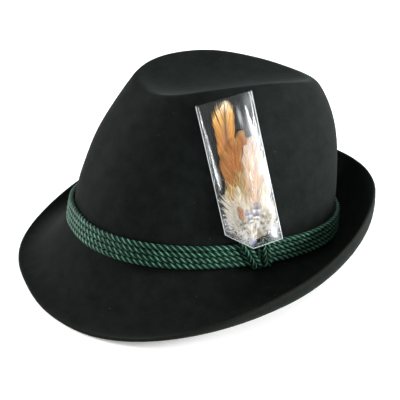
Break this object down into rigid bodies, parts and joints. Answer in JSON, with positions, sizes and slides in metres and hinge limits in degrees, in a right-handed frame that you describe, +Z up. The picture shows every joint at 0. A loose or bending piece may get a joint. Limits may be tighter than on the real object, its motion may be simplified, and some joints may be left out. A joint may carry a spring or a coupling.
{
  "type": "tyrolean hat",
  "caption": "Felt hat with a creased teardrop crown, brim snapped down in front and up behind, green cord band tied at the left side and a plume in a clear sleeve.",
  "frame": {"origin": "middle of the hat's outline on the surface that it rests on", "axes": "+Z up as the hat rests by itself; the front of the hat faces -Y and the wearer's left, with the plume, faces +X"},
  "size_m": [0.2786, 0.2766, 0.1377],
  "materials": {
    "felt": "green-black wool felt, brushed nap",
    "cord": "twisted bottle-green viscose cord, silky",
    "film": "clear crinkled cellophane",
    "feather": "rust, peach and cream feathers"
  },
  "bodies": {
    "root": {"felt_body": "felt", "band_cord_1": "cord", "band_cord_2": "cord", "band_cord_3": "cord", "band_cord_4": "cord", "band_wrap_front_1": "cord", "band_wrap_front_2": "cord", "band_wrap_rear_1": "cord", "band_wrap_rear_2": "cord", "clear_sleeve": "film", "plume": "feather"}
  },
  "joints": []
}
